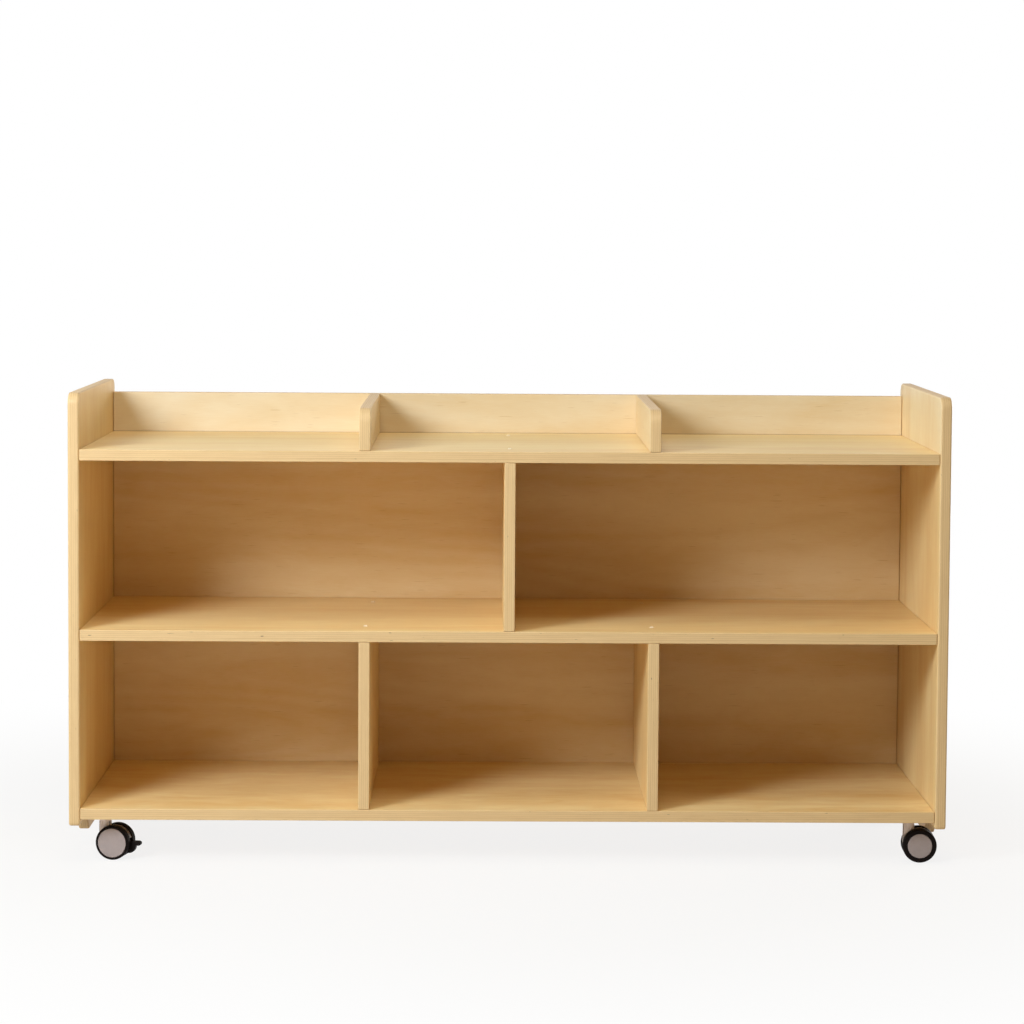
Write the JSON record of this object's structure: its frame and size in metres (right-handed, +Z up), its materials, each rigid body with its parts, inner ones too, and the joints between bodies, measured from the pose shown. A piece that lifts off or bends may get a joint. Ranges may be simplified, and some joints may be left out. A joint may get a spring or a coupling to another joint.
{
  "type": "cube shelf",
  "caption": "Low mobile plywood shelf unit with open bays under a divided tray, on twin-wheel swivel casters, some with a brake pedal.",
  "frame": {"origin": "on the floor under the middle of the unit's outer box", "axes": "+X along the unit's length to the right as seen from the open front, +Y to the back, +Z up"},
  "size_m": [1.2, 0.4, 0.646],
  "materials": {
    "birch": "clear satin lacquer",
    "zinc": "zinc plated",
    "steel": "plain",
    "grey_plastic": "moulded",
    "grey_cap": "satin",
    "black_plastic": "moulded",
    "rubber": "matt"
  },
  "bodies": {
    "carcass": {"side_panel_left": "birch", "side_panel_right": "birch", "top_shelf": "birch", "middle_shelf": "birch", "bottom_shelf": "birch", "back_panel": "birch", "tray_divider_left": "birch", "tray_divider_right": "birch", "centre_divider": "birch", "lower_divider_left": "birch", "lower_divider_right": "birch", "top_shelf_screw_front": "zinc", "top_shelf_screw_rear": "zinc", "middle_shelf_screw_left_front": "zinc", "middle_shelf_screw_left_rear": "zinc", "middle_shelf_screw_right_front": "zinc", "middle_shelf_screw_right_rear": "zinc", "front_left_stem": "steel", "front_right_stem": "steel", "rear_left_stem": "steel", "rear_right_stem": "steel"},
    "front_left_outer_wheel": {"front_left_outer_tyre": "rubber", "front_left_outer_wheel_core": "black_plastic", "front_left_outer_cap": "grey_cap"},
    "front_left_inner_wheel": {"front_left_inner_tyre": "rubber", "front_left_inner_wheel_core": "black_plastic", "front_left_inner_cap": "grey_cap"},
    "front_left_pedal": {"front_left_brake_pedal": "black_plastic"},
    "front_left_caster": {"front_left_housing": "grey_plastic", "front_left_axle": "steel", "front_left_brake_pin": "steel"},
    "front_right_outer_wheel": {"front_right_outer_tyre": "rubber", "front_right_outer_wheel_core": "black_plastic", "front_right_outer_cap": "grey_cap"},
    "front_right_inner_wheel": {"front_right_inner_tyre": "rubber", "front_right_inner_wheel_core": "black_plastic", "front_right_inner_cap": "grey_cap"},
    "front_right_caster": {"front_right_housing": "grey_plastic", "front_right_axle": "steel"},
    "rear_left_outer_wheel": {"rear_left_outer_tyre": "rubber", "rear_left_outer_wheel_core": "black_plastic", "rear_left_outer_cap": "grey_cap"},
    "rear_left_inner_wheel": {"rear_left_inner_tyre": "rubber", "rear_left_inner_wheel_core": "black_plastic", "rear_left_inner_cap": "grey_cap"},
    "rear_left_pedal": {"rear_left_brake_pedal": "black_plastic"},
    "rear_left_caster": {"rear_left_housing": "grey_plastic", "rear_left_axle": "steel", "rear_left_brake_pin": "steel"},
    "rear_right_outer_wheel": {"rear_right_outer_tyre": "rubber", "rear_right_outer_wheel_core": "black_plastic", "rear_right_outer_cap": "grey_cap"},
    "rear_right_inner_wheel": {"rear_right_inner_tyre": "rubber", "rear_right_inner_wheel_core": "black_plastic", "rear_right_inner_cap": "grey_cap"},
    "rear_right_caster": {"rear_right_housing": "grey_plastic", "rear_right_axle": "steel"}
  },
  "joints": [
    {"name": "front_left_swivel", "type": "hinge", "parent": "carcass", "child": "front_left_caster", "pos_m": [-0.556, -0.15, 0.062], "axis": [0, 0, 1], "continuous": true},
    {"name": "front_left_outer_wheel_spin", "type": "hinge", "parent": "front_left_caster", "child": "front_left_outer_wheel", "pos_m": [-0.54182, -0.15302, 0.0235], "axis": [0.2079, 0.9781, 0], "continuous": true},
    {"name": "front_left_inner_wheel_spin", "type": "hinge", "parent": "front_left_caster", "child": "front_left_inner_wheel", "pos_m": [-0.54182, -0.15302, 0.0235], "axis": [0.2079, 0.9781, 0], "continuous": true},
    {"name": "front_left_brake", "type": "hinge", "parent": "front_left_caster", "child": "front_left_pedal", "pos_m": [-0.52861, -0.15582, 0.0205], "axis": [0.2079, 0.9781, 0], "range_deg": [0, 15]},
    {"name": "front_right_swivel", "type": "hinge", "parent": "carcass", "child": "front_right_caster", "pos_m": [0.556, -0.15, 0.062], "axis": [0, 0, 1], "continuous": true},
    {"name": "front_right_outer_wheel_spin", "type": "hinge", "parent": "front_right_caster", "child": "front_right_outer_wheel", "pos_m": [0.57049, -0.15051, 0.0235], "axis": [0.0349, 0.9994, 0], "continuous": true},
    {"name": "front_right_inner_wheel_spin", "type": "hinge", "parent": "front_right_caster", "child": "front_right_inner_wheel", "pos_m": [0.57049, -0.15051, 0.0235], "axis": [0.0349, 0.9994, 0], "continuous": true},
    {"name": "rear_left_swivel", "type": "hinge", "parent": "carcass", "child": "rear_left_caster", "pos_m": [-0.556, 0.15, 0.062], "axis": [0, 0, 1], "continuous": true},
    {"name": "rear_left_outer_wheel_spin", "type": "hinge", "parent": "rear_left_caster", "child": "rear_left_outer_wheel", "pos_m": [-0.54158, 0.14848, 0.0235], "axis": [0.1045, 0.9945, 0], "continuous": true},
    {"name": "rear_left_inner_wheel_spin", "type": "hinge", "parent": "rear_left_caster", "child": "rear_left_inner_wheel", "pos_m": [-0.54158, 0.14848, 0.0235], "axis": [0.1045, 0.9945, 0], "continuous": true},
    {"name": "rear_left_brake", "type": "hinge", "parent": "rear_left_caster", "child": "rear_left_pedal", "pos_m": [-0.52815, 0.14707, 0.0205], "axis": [0.1045, 0.9945, 0], "range_deg": [0, 15]},
    {"name": "rear_right_swivel", "type": "hinge", "parent": "carcass", "child": "rear_right_caster", "pos_m": [0.556, 0.15, 0.062], "axis": [0, 0, 1], "continuous": true},
    {"name": "rear_right_outer_wheel_spin", "type": "hinge", "parent": "rear_right_caster", "child": "rear_right_outer_wheel", "pos_m": [0.57046, 0.15101, 0.0235], "axis": [-0.0698, 0.9976, 0], "continuous": true},
    {"name": "rear_right_inner_wheel_spin", "type": "hinge", "parent": "rear_right_caster", "child": "rear_right_inner_wheel", "pos_m": [0.57046, 0.15101, 0.0235], "axis": [-0.0698, 0.9976, 0], "continuous": true}
  ]
}
